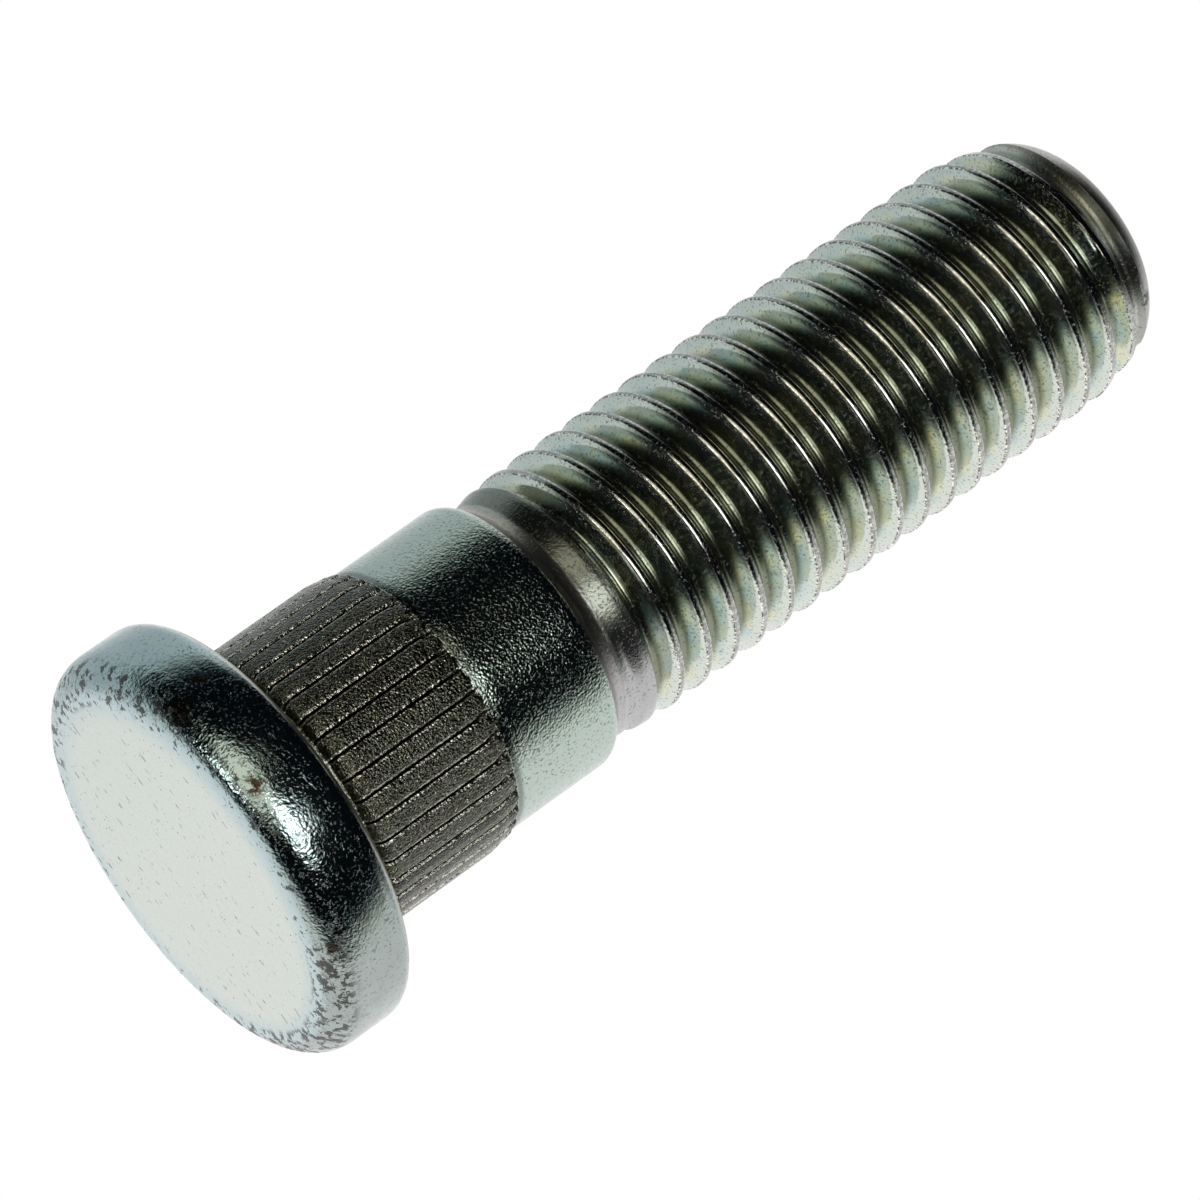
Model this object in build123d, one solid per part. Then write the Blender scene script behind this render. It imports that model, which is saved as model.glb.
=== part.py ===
from build123d import *
import math
import os

# Sizes in millimetres, lengths first, in their order along the axis.
# The outer face of the head lies at height 0 and the shank rises along Z to the tip.
HEAD_THICKNESS = 4.0
KNURL_STANDOFF = 1.1
KNURL_REAR_BEVEL = 0.3
KNURL_CREST_LENGTH = 5.8
KNURL_LEAD_LENGTH = 1.4
SHOULDER_LENGTH = 4.4
NECK_LENGTH = 0.1
THREAD_RISE_LENGTH = 2.66
THREAD_LENGTH = 23.8
TIP_TAPER_LENGTH = 2.1

# The thread sets the diameter, and each larger section stands out by its own step.
THREAD_MAJOR_DIAMETER = 11.86
NECK_UNDERCUT = 0.29
SHOULDER_STEP = 0.295
KNURL_RISE = 0.275
HEAD_OVERHANG = 2.86

# Rounded and bevelled edges.
HEAD_FRONT_ROUNDING = 1.5
HEAD_BACK_BEVEL = 0.8
UNDERHEAD_BEVEL = 0.6
SHOULDER_ROUNDING = 1.0
NECK_FILLET = 0.6
TIP_NOSE_RADIUS = 2.7

# Slopes of the bullet tip from the axis, at its taper and at the edge of its end.
TIP_TAPER_ANGLE = 13.0
TIP_END_ANGLE = 58.0

# Straight knurl.
KNURL_TEETH = 40
KNURL_DEPTH = 0.44
KNURL_UNDERCUT = 0.05
KNURL_LEAD_SINK = 0.03
KNURL_GROOVE_TOP_WIDTH = 0.42
KNURL_GROOVE_FLOOR_WIDTH = 0.08
KNURL_GROOVE_ANGLE = 7.4

# Right-hand metric thread. Its foot is a little thinner than the neck and reaches into it.
THREAD_PITCH = 1.5
THREAD_CREST_FLAT = 0.15
THREAD_ROOT_FLAT = 0.276
THREAD_FLANK_ANGLE = 30.0
THREAD_CREST_LEAD = 0.489
THREAD_FOOT_STEP = 0.08
THREAD_FOOT_DEPTH = 0.6

# Flats that stand for the round in a turn of the thread, in the nose and in the head's front edge.
THREAD_FLATS = 30
NOSE_FLATS = 3
NOSE_FLAT_ANGLE = 6.0
HEAD_FRONT_FLATS = 5

THREAD_RADIUS = THREAD_MAJOR_DIAMETER / 2
THREAD_FLANK_WIDTH = (THREAD_PITCH - THREAD_CREST_FLAT - THREAD_ROOT_FLAT) / 2
THREAD_DEPTH = THREAD_FLANK_WIDTH / math.tan(math.radians(THREAD_FLANK_ANGLE))
THREAD_ROOT_RADIUS = THREAD_RADIUS - THREAD_DEPTH
NECK_RADIUS = THREAD_RADIUS - NECK_UNDERCUT
THREAD_FOOT_RADIUS = NECK_RADIUS - THREAD_FOOT_STEP
SHOULDER_RADIUS = THREAD_RADIUS + SHOULDER_STEP
KNURL_CREST_RADIUS = SHOULDER_RADIUS + KNURL_RISE
KNURL_ROOT_RADIUS = KNURL_CREST_RADIUS - KNURL_DEPTH
UNDERCUT_RADIUS = KNURL_ROOT_RADIUS - KNURL_UNDERCUT
HEAD_RADIUS = KNURL_CREST_RADIUS + HEAD_OVERHANG

NECK_EASE_RADIUS = SHOULDER_ROUNDING + NECK_FILLET
NECK_EASE_ANGLE = math.acos(1 - (SHOULDER_RADIUS - NECK_RADIUS) / NECK_EASE_RADIUS)

KNURL_REAR = HEAD_THICKNESS + KNURL_STANDOFF
KNURL_CREST_START = KNURL_REAR + KNURL_REAR_BEVEL
KNURL_CREST_END = KNURL_CREST_START + KNURL_CREST_LENGTH
KNURL_LEAD_END = KNURL_CREST_END + KNURL_LEAD_LENGTH
SHOULDER_END = KNURL_LEAD_END + SHOULDER_LENGTH
NECK_START = SHOULDER_END + NECK_EASE_RADIUS * math.sin(NECK_EASE_ANGLE)
THREAD_RISE_START = NECK_START + NECK_LENGTH
THREAD_FULL_START = THREAD_RISE_START + THREAD_RISE_LENGTH
TIP_START = THREAD_FULL_START + THREAD_LENGTH
NOSE_START = TIP_START + TIP_TAPER_LENGTH
NOSE_START_RADIUS = THREAD_RADIUS - TIP_TAPER_LENGTH * math.tan(math.radians(TIP_TAPER_ANGLE))
NOSE_TURN = math.sin(math.radians(TIP_END_ANGLE)) - math.sin(math.radians(TIP_TAPER_ANGLE))
OVERALL_LENGTH = NOSE_START + TIP_NOSE_RADIUS * NOSE_TURN


def turned(edges):
    """Solid of revolution about Z from a closed outline drawn as radius and height."""
    return revolve(Plane.XZ * make_face(edges), Axis.Z)


def nose_point(slope):
    """Point of the rounded nose where its outline has the given slope from the axis."""
    taper = math.radians(TIP_TAPER_ANGLE)
    drop = TIP_NOSE_RADIUS * (math.cos(taper) - math.cos(math.radians(slope)))
    rise = TIP_NOSE_RADIUS * (math.sin(math.radians(slope)) - math.sin(taper))
    return (NOSE_START_RADIUS - drop, NOSE_START + rise)


def neck_ease():
    """Convex rounding of the shoulder that flows into the concave fillet of the neck."""

    def convex(angle):
        drop = SHOULDER_ROUNDING * (1 - math.cos(angle))
        return (SHOULDER_RADIUS - drop, SHOULDER_END + SHOULDER_ROUNDING * math.sin(angle))

    def concave(angle):
        lift = NECK_FILLET * (1 - math.cos(angle))
        return (NECK_RADIUS + lift, NECK_START - NECK_FILLET * math.sin(angle))

    half = NECK_EASE_ANGLE / 2
    rounding = ThreePointArc(convex(0), convex(half), convex(NECK_EASE_ANGLE))
    hollow = ThreePointArc(convex(NECK_EASE_ANGLE), concave(half), concave(0))
    return [rounding, hollow]


def turned_blank():
    """Head, core under the knurl, shoulder and neck."""
    shoulder_start = (KNURL_CREST_END + KNURL_LEAD_END) / 2
    bevel_middle = (1 - math.sqrt(0.5)) * HEAD_BACK_BEVEL
    front_rounding = min(HEAD_FRONT_ROUNDING, 0.6 * HEAD_THICKNESS)
    front_edge = []
    for corner in range(HEAD_FRONT_FLATS + 1):
        turn = math.pi / 2 * corner / HEAD_FRONT_FLATS
        radius = HEAD_RADIUS - front_rounding * (1 - math.sin(turn))
        front_edge.append((radius, front_rounding * (1 - math.cos(turn))))
    lower = Polyline(
        (0, 0),
        *front_edge,
        (HEAD_RADIUS, HEAD_THICKNESS - HEAD_BACK_BEVEL),
        (HEAD_RADIUS - bevel_middle, HEAD_THICKNESS - bevel_middle),
        (HEAD_RADIUS - HEAD_BACK_BEVEL, HEAD_THICKNESS),
        (UNDERCUT_RADIUS + UNDERHEAD_BEVEL, HEAD_THICKNESS),
        (UNDERCUT_RADIUS, HEAD_THICKNESS + UNDERHEAD_BEVEL),
        (UNDERCUT_RADIUS, shoulder_start),
        (SHOULDER_RADIUS, shoulder_start),
        (SHOULDER_RADIUS, SHOULDER_END),
    )
    neck = Polyline(
        (NECK_RADIUS, NECK_START),
        (NECK_RADIUS, THREAD_RISE_START),
        (0, THREAD_RISE_START),
        (0, 0),
    )
    return turned([lower, *neck_ease(), neck])


def thread_limits(height):
    """Smallest and largest radius that the thread may have at a height."""
    rise = min(1, max(0, (height - THREAD_RISE_START) / THREAD_RISE_LENGTH))
    inner = THREAD_FOOT_RADIUS + (THREAD_ROOT_RADIUS - THREAD_FOOT_RADIUS) * rise
    outer = THREAD_FOOT_RADIUS + (THREAD_RADIUS - THREAD_FOOT_RADIUS) * rise
    if height > NOSE_START:
        taper = math.sin(math.radians(TIP_TAPER_ANGLE))
        slope = math.degrees(math.asin(taper + (height - NOSE_START) / TIP_NOSE_RADIUS))
        outer = nose_point(slope)[0]
    elif height > TIP_START:
        outer = THREAD_RADIUS - (height - TIP_START) * math.tan(math.radians(TIP_TAPER_ANGLE))
    return (inner, outer)


def thread_column(flat):
    """Upright outline of thread and tip between two flats, from the foot to the end."""
    foot = THREAD_RISE_START - THREAD_FOOT_DEPTH
    nose = [nose_point(TIP_END_ANGLE - NOSE_FLAT_ANGLE * corner) for corner in range(NOSE_FLATS, -1, -1)]
    lowest = foot + THREAD_CREST_FLAT
    highest = nose[0][1] - THREAD_CREST_FLAT
    half_crest = THREAD_CREST_FLAT / 2
    one_turn = (
        (-half_crest, THREAD_RADIUS),
        (half_crest, THREAD_RADIUS),
        (half_crest + THREAD_FLANK_WIDTH, THREAD_ROOT_RADIUS),
        (half_crest + THREAD_FLANK_WIDTH + THREAD_ROOT_FLAT, THREAD_ROOT_RADIUS),
    )
    points = [(THREAD_FOOT_RADIUS, foot)]
    crest = foot + THREAD_CREST_LEAD + (flat / THREAD_FLATS - 1) * THREAD_PITCH
    while crest < highest:
        for offset, radius in one_turn:
            height = crest + offset
            if lowest < height < highest:
                inner, outer = thread_limits(height)
                points.append((min(outer, max(inner, radius)), height))
        crest += THREAD_PITCH
    angle = 2 * math.pi * flat / THREAD_FLATS
    return [
        (radius * math.cos(angle), radius * math.sin(angle), height)
        for radius, height in points + nose
    ]


def threaded_shank():
    """Thread and bullet tip, whose flats climb between neighbouring outlines in turn."""
    columns = [thread_column(flat) for flat in range(THREAD_FLATS)]
    foot = [column[0] for column in columns]
    end = [column[-1] for column in columns]
    flats = [foot, end]
    for left, right in zip(columns, columns[1:] + columns[:1]):
        upward = sorted(left[1:] + right[1:], key=lambda point: point[2])
        on_left, on_right = left[0], right[0]
        for point in upward:
            flats.append([on_left, on_right, point])
            if point in left:
                on_left = point
            else:
                on_right = point
    return Solid(Shell([Face(Wire.make_polygon(flat, close=True)) for flat in flats]))


def knurl_section():
    """Toothed section: flat-topped teeth parted by narrow V grooves."""
    tooth_angle = 2 * math.pi / KNURL_TEETH
    half_top = math.asin(KNURL_GROOVE_TOP_WIDTH / 2 / KNURL_CREST_RADIUS)
    half_floor = math.asin(KNURL_GROOVE_FLOOR_WIDTH / 2 / KNURL_ROOT_RADIUS)

    def at(radius, angle):
        return (radius * math.cos(angle), radius * math.sin(angle))

    edges = []
    for tooth in range(KNURL_TEETH):
        groove = math.radians(KNURL_GROOVE_ANGLE) + tooth * tooth_angle
        following = groove + tooth_angle
        floor_start = at(KNURL_ROOT_RADIUS, groove - half_floor)
        floor_end = at(KNURL_ROOT_RADIUS, groove + half_floor)
        crest_start = at(KNURL_CREST_RADIUS, groove + half_top)
        crest_middle = at(KNURL_CREST_RADIUS, groove + tooth_angle / 2)
        crest_end = at(KNURL_CREST_RADIUS, following - half_top)
        next_floor = at(KNURL_ROOT_RADIUS, following - half_floor)
        edges.append(Polyline(floor_start, floor_end, crest_start))
        edges.append(ThreePointArc(crest_start, crest_middle, crest_end))
        edges.append(Line(crest_end, next_floor))
    return make_face(edges)


def knurl_band():
    """Straight knurl with bevelled rear ends and a long tapered lead-in."""
    teeth = Pos(0, 0, KNURL_REAR) * extrude(knurl_section(), KNURL_LEAD_END - KNURL_REAR)
    envelope = turned(
        Polyline(
            (0, KNURL_REAR),
            (KNURL_CREST_RADIUS - KNURL_REAR_BEVEL, KNURL_REAR),
            (KNURL_CREST_RADIUS, KNURL_CREST_START),
            (KNURL_CREST_RADIUS, KNURL_CREST_END),
            (SHOULDER_RADIUS - KNURL_LEAD_SINK, KNURL_LEAD_END),
            (0, KNURL_LEAD_END),
            close=True,
        )
    )
    return teeth & envelope


def wheel_stud():
    """The whole stud in one piece."""
    return turned_blank() + knurl_band() + threaded_shank()


os.makedirs("parts", exist_ok=True)
export_step(wheel_stud(), "parts/wheel_stud.step")
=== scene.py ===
import math

import bmesh
import bpy
from bpy.props import FloatProperty, FloatVectorProperty, IntProperty, PointerProperty
from mathutils import Matrix, Vector


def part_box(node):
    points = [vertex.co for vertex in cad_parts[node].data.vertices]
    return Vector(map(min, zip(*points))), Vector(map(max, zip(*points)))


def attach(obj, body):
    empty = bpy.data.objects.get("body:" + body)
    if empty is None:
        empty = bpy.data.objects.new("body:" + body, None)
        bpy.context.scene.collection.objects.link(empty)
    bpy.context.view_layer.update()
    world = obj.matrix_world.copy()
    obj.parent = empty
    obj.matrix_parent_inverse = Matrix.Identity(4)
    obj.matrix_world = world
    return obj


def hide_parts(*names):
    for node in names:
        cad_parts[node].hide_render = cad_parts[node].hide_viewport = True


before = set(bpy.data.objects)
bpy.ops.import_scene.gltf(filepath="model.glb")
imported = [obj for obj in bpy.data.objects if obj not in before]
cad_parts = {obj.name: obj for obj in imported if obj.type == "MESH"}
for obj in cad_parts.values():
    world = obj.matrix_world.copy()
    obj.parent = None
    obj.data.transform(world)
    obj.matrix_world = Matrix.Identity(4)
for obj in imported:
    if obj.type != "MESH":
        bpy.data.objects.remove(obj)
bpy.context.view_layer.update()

bl_info = {
    "name": "Wheel stud",
    "version": (1, 0, 0),
    "blender": (4, 5, 0),
    "location": "3D View > Sidebar > Wheel stud",
    "description": "Builds a worn zinc plated wheel stud over its CAD frame",
    "category": "Object",
}

MM = 0.001
NODE = "wheel_stud"
BODY = "root"
STUD_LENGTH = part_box(NODE)[1].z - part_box(NODE)[0].z
HEAD_RADIUS = (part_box(NODE)[1].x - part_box(NODE)[0].x) / 2


def length(label, text, millimetres):
    """A size that the sidebar shows as a length."""
    return FloatProperty(name=label, description=text, default=millimetres * MM, unit="LENGTH", precision=5)


def colour(label, text, red, green, blue):
    """A colour that the sidebar shows as a swatch."""
    return FloatVectorProperty(
        name=label, description=text, default=(red, green, blue), subtype="COLOR", min=0.0, max=1.0
    )


class StudSizes(bpy.types.PropertyGroup):
    """Sizes of the stud, in the frame of the CAD model."""

    head_radius: FloatProperty(
        name="Head radius",
        description="Radius of the head's rim",
        default=HEAD_RADIUS,
        unit="LENGTH",
        precision=5,
    )
    stud_length: FloatProperty(
        name="Length",
        description="From the head's face to the tip",
        default=STUD_LENGTH,
        unit="LENGTH",
        precision=5,
    )
    head_thickness: length("Head thickness", "Height of the head's underside", 4.0)
    front_rounding: length("Front rounding", "Rounding of the head's front edge", 1.5)
    back_bevel: length("Back bevel", "Bevel of the head's back edge", 0.8)
    undercut_radius: length("Undercut radius", "Radius between the head and the knurl", 6.01)
    knurl_rear: length("Knurl rear", "Height where the knurl starts", 5.2)
    knurl_crest_end: length("Knurl crest end", "Height where the knurl starts to taper", 11.2)
    knurl_lead_end: length("Knurl lead end", "Height where the teeth end on the shoulder", 12.1)
    knurl_crest_radius: length("Knurl crest radius", "Radius over the teeth", 6.5)
    knurl_root_radius: length("Knurl root radius", "Radius in the grooves", 6.06)
    shoulder_radius: length("Shoulder radius", "Radius of the smooth shoulder", 6.225)
    shoulder_end: length("Shoulder end", "Height where the shoulder rounds off", 17.0)
    neck_radius: length("Neck radius", "Radius of the neck before the thread", 5.58)
    thread_pitch: length("Thread pitch", "Rise of the thread in one turn", 1.5)
    thread_crest_radius: length("Thread crest radius", "Radius over the thread", 5.93)
    thread_root_radius: length("Thread root radius", "Radius in the bottom of the thread", 5.0)
    tip_start: length("Tip start", "Height where the tip starts to taper", 44.797)
    nose_start: length("Nose start", "Height where the taper turns into the round nose", 46.897)
    nose_radius: length("Nose radius", "Rounding of the nose", 2.699)
    knurl_teeth: IntProperty(
        name="Knurl teeth", description="Number of teeth of the knurl", default=40, min=8
    )


class StudColours(bpy.types.PropertyGroup):
    """Colours of the plating and of what shows through it."""

    face: colour("Face", "Plating on the face of the head", 0.64, 0.68, 0.635)
    face_edge: colour("Face edge", "Bluish plating where the face turns into the rim", 0.46, 0.58, 0.61)
    rim: colour("Rim", "Plating on the rim of the head", 0.42, 0.53, 0.54)
    knurl: colour("Knurl", "Scuffed plating on the teeth", 0.15, 0.16, 0.12)
    knurl_dark: colour("Knurl grain", "Dark grain of the teeth", 0.04, 0.042, 0.032)
    shoulder: colour("Shoulder", "Plating on the shoulder", 0.48, 0.56, 0.51)
    neck: colour("Neck", "Plating in the hollow of the neck", 0.40, 0.39, 0.35)
    thread: colour("Thread", "Plating on the flanks of the thread", 0.67, 0.72, 0.66)
    # Olive plating of the thread's roots, darkened further as painted shade in the recess.
    thread_root: colour("Thread root", "Olive plating in the bottom of the thread", 0.25, 0.27, 0.20)
    # Bright colour of rubbed metal, also used as painted glints and highlight streaks on the teeth, the crest
    # edges and the nose.
    glint_and_rubbed: colour("Bare edges", "Rubbed bright edges of the teeth and crests", 0.98, 0.95, 0.84)
    chip: colour("Chips", "Dark steel where the plating is chipped", 0.05, 0.045, 0.04)
    rust: colour("Rust", "Brown stain on the rim", 0.05, 0.034, 0.02)


class StageSettings(bpy.types.PropertyGroup):
    """Floor and light."""

    floor: colour("Floor", "Colour of the floor", 0.86, 0.86, 0.86)
    lamp_power: FloatProperty(
        name="Lamp power", description="Power of the lamp above", default=0.6, unit="POWER", min=0.0
    )


class Value:
    """A socket with a number in it; sums and products of it add Math nodes."""

    def __init__(self, tree, socket):
        self.tree = tree
        self.socket = socket

    def math(self, operation, *others, flip=False):
        node = self.tree.nodes.new("ShaderNodeMath")
        node.operation = operation
        operands = [self, *others]
        if flip:
            operands.reverse()
        for place, operand in enumerate(operands):
            if isinstance(operand, Value):
                self.tree.links.new(operand.socket, node.inputs[place])
            else:
                node.inputs[place].default_value = operand
        return Value(self.tree, node.outputs[0])

    def __add__(self, other):
        return self.math("ADD", other)

    def __radd__(self, other):
        return self.math("ADD", other)

    def __sub__(self, other):
        return self.math("SUBTRACT", other)

    def __rsub__(self, other):
        return self.math("SUBTRACT", other, flip=True)

    def __mul__(self, other):
        return self.math("MULTIPLY", other)

    def __rmul__(self, other):
        return self.math("MULTIPLY", other)

    def __truediv__(self, other):
        return self.math("DIVIDE", other)

    def __rtruediv__(self, other):
        return self.math("DIVIDE", other, flip=True)

    def __pow__(self, other):
        return self.math("POWER", other)

    def __rpow__(self, other):
        return self.math("POWER", other, flip=True)

    def __abs__(self):
        return self.math("ABSOLUTE")

    def at_most(self, other):
        return self.math("MINIMUM", other)

    def at_least(self, other):
        return self.math("MAXIMUM", other)

    def rising(self, low, high):
        """Goes smoothly from 0 at low to 1 at high."""
        node = self.tree.nodes.new("ShaderNodeMapRange")
        node.interpolation_type = "SMOOTHSTEP"
        self.tree.links.new(self.socket, node.inputs["Value"])
        node.inputs["From Min"].default_value = low
        node.inputs["From Max"].default_value = high
        return Value(self.tree, node.outputs["Result"])

    def falling(self, low, high):
        """Goes smoothly from 1 at low to 0 at high."""
        return 1.0 - self.rising(low, high)

    def between(self, start, full, end, stop):
        """Rises from start to full and falls from end to stop."""
        return self.rising(start, full) * self.falling(end, stop)


class Finish:
    """Node tree of one material or of the world."""

    def __init__(self, owner):
        owner.use_nodes = True
        self.tree = owner.node_tree
        self.tree.nodes.clear()

    def node(self, kind, settings=None, **inputs):
        """Adds a node: its settings first, then the values or links of its sockets."""
        node = self.tree.nodes.new(kind)
        for name, setting in (settings or {}).items():
            if name == "stops":
                self.set_stops(node.color_ramp, setting)
            else:
                setattr(node, name, setting)
        for name, given in inputs.items():
            numbered = name[0] == "i" and name[1:].isdigit()
            socket = node.inputs[int(name[1:]) if numbered else name.replace("_", " ")]
            if isinstance(given, Value):
                self.tree.links.new(given.socket, socket)
            elif isinstance(given, bpy.types.NodeSocket):
                self.tree.links.new(given, socket)
            else:
                socket.default_value = given
        return node

    def set_stops(self, ramp, stops):
        while len(ramp.elements) < len(stops):
            ramp.elements.new(0.5)
        for element, (place, shade) in zip(ramp.elements, stops):
            element.position = place
            element.color = (*shade, 1.0)

    def value(self, socket):
        return Value(self.tree, socket)

    def noise(self, vector, scale, detail=2.0, roughness=0.5):
        node = self.node("ShaderNodeTexNoise", Vector=vector, Scale=scale, Detail=detail, Roughness=roughness)
        return self.value(node.outputs["Fac"])

    def cells(self, vector, scale):
        node = self.node("ShaderNodeTexVoronoi", Vector=vector, Scale=scale)
        return self.value(node.outputs["Distance"])

    def mix(self, factor, first, second):
        """Colour that goes from first to second."""
        node = self.node("ShaderNodeMix", {"data_type": "RGBA"}, i0=factor)
        for place, given in ((6, first), (7, second)):
            if isinstance(given, bpy.types.NodeSocket):
                self.tree.links.new(given, node.inputs[place])
            else:
                node.inputs[place].default_value = (*given, 1.0)
        return node.outputs[2]


def deselect_everything():
    """Leaves no object selected and none in edit mode."""
    if bpy.context.object and bpy.context.object.mode != "OBJECT":
        bpy.ops.object.mode_set(mode="OBJECT")
    bpy.ops.object.select_all(action="DESELECT")


def choose(piece, wanted):
    """Selects, in edit mode, the points for which wanted says yes, and what lies between them."""
    bpy.ops.mesh.select_mode(type="VERT")
    mesh = bmesh.from_edit_mesh(piece.data)
    for point in mesh.verts:
        point.select = wanted(point.co)
    mesh.select_flush_mode()
    bmesh.update_edit_mesh(piece.data)


def choose_rings(piece, wanted):
    """Selects, in edit mode, the open edges for which wanted says yes."""
    bpy.ops.mesh.select_mode(type="EDGE")
    bpy.ops.mesh.select_all(action="DESELECT")
    mesh = bmesh.from_edit_mesh(piece.data)
    for edge in mesh.edges:
        if edge.is_boundary and wanted(edge.verts[0].co):
            edge.select = True
    bmesh.update_edit_mesh(piece.data)


def drawn_outline(name, outline, azimuth=0.0):
    """Outline of radius and height, drawn point by point in the half plane at an azimuth."""
    deselect_everything()
    across, along = math.cos(azimuth), math.sin(azimuth)
    places = [Vector((radius * across, radius * along, height)) for radius, height in outline]
    bpy.ops.mesh.primitive_plane_add(size=MM, location=(0.0, 0.0, 0.0))
    piece = bpy.context.object
    piece.name = name
    piece.data.name = name
    bpy.ops.object.mode_set(mode="EDIT")
    bpy.ops.mesh.select_mode(type="VERT")
    bpy.ops.mesh.select_all(action="SELECT")
    bpy.ops.mesh.merge(type="CENTER")
    bpy.ops.transform.translate(value=places[0])
    for start, end in zip(places, places[1:]):
        bpy.ops.mesh.extrude_vertices_move(TRANSFORM_OT_translate={"value": end - start})
    return piece


def spun(piece, columns):
    """Turns a drawn outline once round the axis and closes it."""
    bpy.ops.mesh.select_all(action="SELECT")
    bpy.ops.mesh.spin(steps=columns, angle=2 * math.pi, center=(0.0, 0.0, 0.0), axis=(0.0, 0.0, 1.0))
    bpy.ops.mesh.select_all(action="SELECT")
    bpy.ops.mesh.remove_doubles(threshold=1e-7)
    bpy.ops.mesh.select_all(action="SELECT")
    bpy.ops.mesh.normals_make_consistent(inside=False)


def turned(piece, numbers, angle):
    """Turns the numbered points round the axis."""
    mesh = bmesh.from_edit_mesh(piece.data)
    for point in mesh.verts:
        point.select = point.index in numbers
    mesh.select_flush_mode()
    bmesh.update_edit_mesh(piece.data)
    bpy.ops.transform.rotate(
        value=-angle, orient_axis="Z", orient_type="GLOBAL", center_override=(0.0, 0.0, 0.0)
    )


def eased(piece, wanted, scale, reach):
    """Widens or narrows one end of the thread, less and less towards its middle."""
    choose(piece, wanted)
    bpy.ops.transform.resize(
        value=(scale, scale, 1.0),
        center_override=(0.0, 0.0, 0.0),
        use_proportional_edit=True,
        proportional_edit_falloff="SMOOTH",
        proportional_size=reach,
    )


def rounded(centre, radius, start, end, steps):
    """Points of a rounding in the outline, from one angle to another in degrees."""
    turns = [math.radians(start + (end - start) * step / steps) for step in range(steps + 1)]
    return [(centre[0] + radius * math.cos(turn), centre[1] + radius * math.sin(turn)) for turn in turns]


# Knurl: the columns of points across a tooth, with their angles from its middle and how far they are turned.
GROOVE_ANGLE = math.radians(7.4)
COLUMNS_PER_TOOTH = 9
COLUMN_SHIFTS = ((1, -0.45), (2, -0.7), (7, 0.7), (8, 0.45))
TOOTH_SIDE = (4.5, 3.95, 3.2, 1.5, 0.5, 0.5, 1.5, 3.2, 3.95)
TOOTH_FLAT_SIDE = math.radians(3.2)
TOOTH_HALF_WIDTH = 3.4
TOOTH_BEVEL = 0.06 * MM
TOOTH_SINK = 0.03 * MM
LEAD_ROUND_START = 0.62 * MM
LEAD_ROUND_LENGTH = 0.55 * MM

# Undercut behind the head and roundings at the end of the shoulder.
UNDERCUT_FILLET = 0.6 * MM
SHOULDER_ROUNDING = 0.7 * MM
NECK_HOLLOW = 0.9 * MM

# Thread: roundings of its section, the height of one crest, and where its ends are widened and smoothed.
ROOT_ROUNDING = 0.27 * MM
CREST_ROUNDING = 0.12 * MM
CREST_FLAT = 0.05 * MM
CREST_HEIGHT = 21.225 * MM
CREST_ALLOWANCE = 0.02 * MM
NECK_EASE_HEIGHT = 18.45 * MM
NECK_EASE_SCALE = 1.16
NECK_EASE_REACH = 1.9 * MM
NOSE_EASE_HEIGHT = 47.5 * MM
NOSE_EASE_SCALE = 0.90
NOSE_EASE_REACH = 2.7 * MM
RUNOUT_SMOOTH_START = 18.42 * MM
RUNOUT_SMOOTH_END = 19.15 * MM

# Radius and height, in millimetres, of the bodies that hold the thread at its start and at its core.
START_LIMIT = (
    (5.565, 10.0),
    (5.565, 18.36),
    (5.60, 18.5),
    (5.70, 18.85),
    (5.78, 19.2),
    (5.82, 19.6),
    (5.86, 20.0),
    (5.90, 20.5),
)
CORE_LIMIT = ((0.0, 10.0), (4.6, 10.0), (4.6, 46.4), (4.75, 47.1), (5.25, 47.75), (5.25, 60.0), (0.0, 60.0))
LIMIT_FOOT = 10 * MM

# Tip: the slope of its taper, and the angle at which the nose meets the flat end.
TIP_SLOPE = 0.2309
TIP_END_ANGLE = 58.0

# Heights at which the shank, the thread and the nose are joined.
NECK_JOIN = 18.28 * MM
THREAD_JOIN = 18.34 * MM
NOSE_JOIN = 48.1 * MM


def head_outline(sizes):
    """Face, front rounding, rim, back bevel and underside of the head."""
    rim = sizes.head_radius
    front = sizes.front_rounding
    back = sizes.back_bevel
    top = sizes.head_thickness
    outline = [(0.0, 0.0), (0.25 * rim, 0.0), (0.5 * rim, 0.0), (0.7 * rim, 0.0)]
    outline += rounded((rim - front, front), front, -90, 0, 9)
    outline += [(rim, 1.9 * MM), (rim, 2.4 * MM), (rim, 2.8 * MM)]
    outline += rounded((rim - back, top - back), back, 0, 90, 5)
    foot = sizes.undercut_radius + UNDERCUT_FILLET
    outline += [(7.6 * MM, top), (foot, top)]
    outline += rounded((foot, top + UNDERCUT_FILLET), UNDERCUT_FILLET, 270, 180, 4)[1:]
    return outline


def knurl_heights(sizes):
    """Heights and crest radii of the knurl's rows, rear bevel and rounded ends included."""
    rear, end, lead = sizes.knurl_rear, sizes.knurl_crest_end, sizes.knurl_lead_end
    crest = sizes.knurl_crest_radius
    rows = [(crest - 0.3 * MM, rear), (crest - 0.12 * MM, rear + 0.14 * MM), (crest, rear + 0.3 * MM)]
    rows += [(crest, height * MM) for height in (6.2, 7.0, 7.8, 8.6, 9.4, 10.2)]
    rows += [(crest, end - 0.3 * MM), (crest - 0.04 * MM, end), (crest - 0.10 * MM, lead - LEAD_ROUND_START)]
    for share in (0.2, 0.4, 0.58, 0.72, 0.83, 0.92, 0.98):
        height = lead - LEAD_ROUND_START + LEAD_ROUND_LENGTH * share
        rows.append((crest - (0.10 + 0.10 * share ** 3) * MM, height))
    rows.append((sizes.shoulder_radius - TOOTH_SINK, lead - 0.05 * MM))
    return rows


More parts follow.
